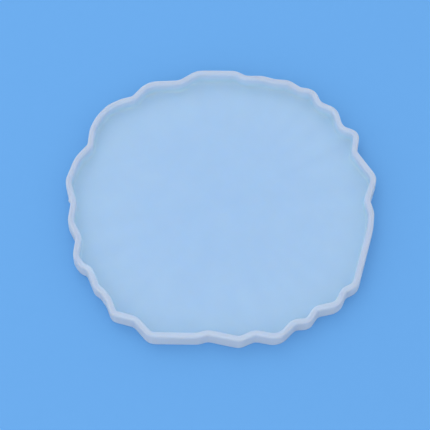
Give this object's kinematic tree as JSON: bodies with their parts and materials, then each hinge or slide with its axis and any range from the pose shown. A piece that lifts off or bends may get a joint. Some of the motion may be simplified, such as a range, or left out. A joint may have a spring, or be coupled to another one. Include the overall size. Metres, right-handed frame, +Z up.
{
  "type": "resin casting mould",
  "caption": "Shallow open silicone mould with a flat base sheet and an upright wavy rim wall, for casting a thin resin slab with an agate-slice outline.",
  "frame": {"origin": "underside of the base sheet, under the middle of the outline's bounding box", "axes": "+X across to the right, +Y to the back, +Z up out of the cavity's open side"},
  "size_m": [0.1524, 0.1524, 0.008],
  "materials": {
    "silicone": "milky translucent platinum-cure silicone with a smooth satin skin: clearer in the thin sheet, cloudier and greyer in the thick wall"
  },
  "bodies": {
    "root": {"base_sheet": "silicone", "rim_wall": "silicone"}
  },
  "joints": []
}
